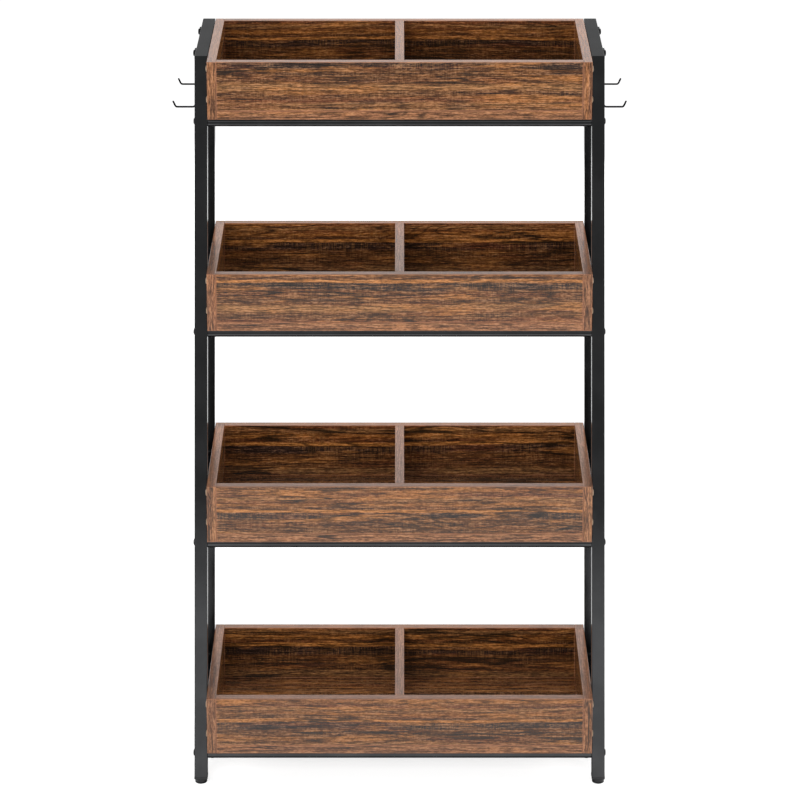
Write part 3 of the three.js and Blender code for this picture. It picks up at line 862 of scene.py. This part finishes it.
for side_name in SIDES:
    build_rail(side_name)
    for tier in range(2, TIERS + 1):
        build_rung(side_name, tier)
    for end_name in TUBE_LINES:
        build_post(side_name, end_name)
        build_hook(side_name, end_name)
        build_plug(side_name, end_name)
        build_foot(side_name, end_name)
for tier in range(1, TIERS + 1):
    for end_name in TUBE_LINES:
        build_crossbar(end_name, tier)
    build_tray(tier)
    build_caps(tier)


# Studio: white all round for the camera, soft light, a pale floor; reflections see white, a dimmer studio
# and a painted shadow
WHITE = (1, 1, 1, 1)


def seen_directly(tree):
    """1 for rays of the camera, of gloss and of glass, 0 for light on dull surfaces."""
    path = tree.nodes.new("ShaderNodeLightPath")
    total = path.outputs["Is Camera Ray"]
    for name in ("Is Glossy Ray", "Is Transmission Ray"):
        larger = tree.nodes.new("ShaderNodeMath")
        larger.operation = "MAXIMUM"
        tree.links.new(total, larger.inputs[0])
        tree.links.new(path.outputs[name], larger.inputs[1])
        total = larger.outputs[0]
    return total


def build_world(light):
    """White where it is seen directly, and a dimmer light on everything."""
    world = bpy.data.worlds.new("studio")
    world.use_nodes = True
    scene.world = world
    tree = world.node_tree
    tree.nodes.clear()
    soft = tree.nodes.new("ShaderNodeBackground")
    soft.inputs["Strength"].default_value = light
    soft.inputs["Color"].default_value = WHITE
    white = tree.nodes.new("ShaderNodeBackground")
    white.inputs["Color"].default_value = WHITE
    mix = tree.nodes.new("ShaderNodeMixShader")
    tree.links.new(seen_directly(tree), mix.inputs[0])
    tree.links.new(soft.outputs[0], mix.inputs[1])
    tree.links.new(white.outputs[0], mix.inputs[2])
    output = tree.nodes.new("ShaderNodeOutputWorld")
    tree.links.new(mix.outputs[0], output.inputs["Surface"])


def add_stage(name, corners, faces, material):
    """A surface of the studio, which is no part of the rack."""
    mesh = bpy.data.meshes.new(name)
    mesh.from_pydata(corners, [], faces)
    mesh.materials.append(material)
    surface = bpy.data.objects.new(name, mesh)
    scene.collection.objects.link(surface)
    return surface


def build_floor(near_lift, far_lift):
    """A pale dull floor; the lifts are the white added to it where it is seen directly. Near the rack the
    white is less, so that the shadow shows."""
    reach, near, far = 30, 1.2, 3.5
    paint = Paint("floor")
    place = paint.add("TexCoord", {}).outputs["Object"]
    distance = paint.add("VectorMath", {0: place}, operation="LENGTH").outputs["Value"]
    lift = paint.span(distance, near, far, near_lift, far_lift)
    paint.feed(paint.shader, {
        "Base Color": (0.6, 0.6, 0.6, 1),
        "Roughness": 1,
        "Specular IOR Level": 0,
        "Emission Color": WHITE,
        "Emission Strength": paint.math("MULTIPLY", seen_directly(paint.tree), lift),
    })
    corners = [(-reach, -reach, 0), (reach, -reach, 0), (reach, reach, 0), (-reach, reach, 0)]
    add_stage("floor", corners, [(0, 1, 2, 3)], paint.material)


def build_dim_studio(shade):
    """The dimmer studio in front of the pale sweep, floor and wall, and a black sheet under the rack, a
    painted shadow in place of the floor's shade there. They show only as a reflection."""
    floor_edge, wall, reach, height, lifted = -0.95, -8, 8, 1.0, 0.001
    dim_from, dim_to = -1.0, -1.50
    under, under_edge = 0.12, 0.15
    outline = [(floor_edge, lifted), (wall, lifted), (wall, height)]
    corners = [(x, y, z) for y, z in outline for x in (-reach, reach)]
    corners += [(x, y, lifted) for y in (-under_edge, under_edge) for x in (-HALF_WIDTH, HALF_WIDTH)]
    paint = Paint("dim_studio")
    place = paint.add("TexCoord", {}).outputs["Object"]
    y = paint.add("SeparateXYZ", {"Vector": place}).outputs["Y"]
    in_front = paint.span(y, dim_to, dim_from, shade, 1.0)
    # Painted shadow: black under the rack, which the metal reflects in place of the floor's shade
    shadow_beneath = paint.span(paint.math("ABSOLUTE", y), under, under_edge)
    paint.feed(paint.shader, {
        "Base Color": (0, 0, 0, 1),
        "Emission Color": WHITE,
        "Emission Strength": paint.math("MULTIPLY", in_front, shadow_beneath),
    })
    surface = add_stage("dim_studio", corners, [(0, 1, 3, 2), (2, 3, 5, 4), (6, 7, 9, 8)], paint.material)
    surface.visible_camera = False
    surface.visible_diffuse = False
    surface.visible_shadow = False
    surface.visible_transmission = False


def add_lamp(name, place, aim, size, power):
    """A soft square lamp, itself unseen."""
    data = bpy.data.lights.new(name, "AREA")
    data.shape = "SQUARE"
    data.size = size
    data.energy = power
    lamp = bpy.data.objects.new(name, data)
    scene.collection.objects.link(lamp)
    lamp.location = place
    lamp.rotation_euler = (Vector(aim) - Vector(place)).to_track_quat("-Z", "Y").to_euler()
    lamp.visible_camera = False
    lamp.visible_glossy = False


def build_camera():
    """The photograph keeps upright lines parallel although it looks down on the rack, so its image plane
    is upright. The camera's frame is slanted by that angle through its holder, and no lens shift is used."""
    focal_pixels, picture_width = 3487.3, 800
    look_down = math.atan(0.35307)
    x, y, z = 0.0008, -6.9265, 3.150
    slanted = Matrix((
        (1, 0, 0, x),
        (0, 0, -math.cos(look_down), y),
        (0, 1, math.sin(look_down), z),
        (0, 0, 0, 1),
    ))
    data = bpy.data.cameras.new("camera")
    data.sensor_width = 36
    data.lens = focal_pixels / math.cos(look_down) * data.sensor_width / picture_width
    data.clip_end = 100
    camera = bpy.data.objects.new("camera", data)
    holder = bpy.data.objects.new("camera_holder", None)
    scene.collection.objects.link(camera)
    scene.collection.objects.link(holder)
    camera.parent = holder
    camera.matrix_parent_inverse = slanted
    scene.camera = camera


build_world(light=0.19)
build_floor(near_lift=0.73, far_lift=0.90)
build_dim_studio(shade=0.29)
# Lamps: place, aim, width in metres and power in watts
MIDDLE, TOP_TRAYS = (0, 0, 0.7), (0, 0, 1.2)
add_lamp("key", (-1.4, -4.6, 2.5), MIDDLE, 2.4, 170)
add_lamp("fill", (2.0, -4.4, 1.5), MIDDLE, 2.4, 95)
add_lamp("back", (0.6, 4.0, 1.3), MIDDLE, 2.4, 70)
add_lamp("top", (0.3, 1.2, 2.9), TOP_TRAYS, 1.0, 34)
for side_name, side in SIDES.items():
    add_lamp(f"{side_name}_side", (side * 4.4, -0.8, 2.6), MIDDLE, 2.0, 50)
build_camera()
scene.view_settings.view_transform = "Standard"
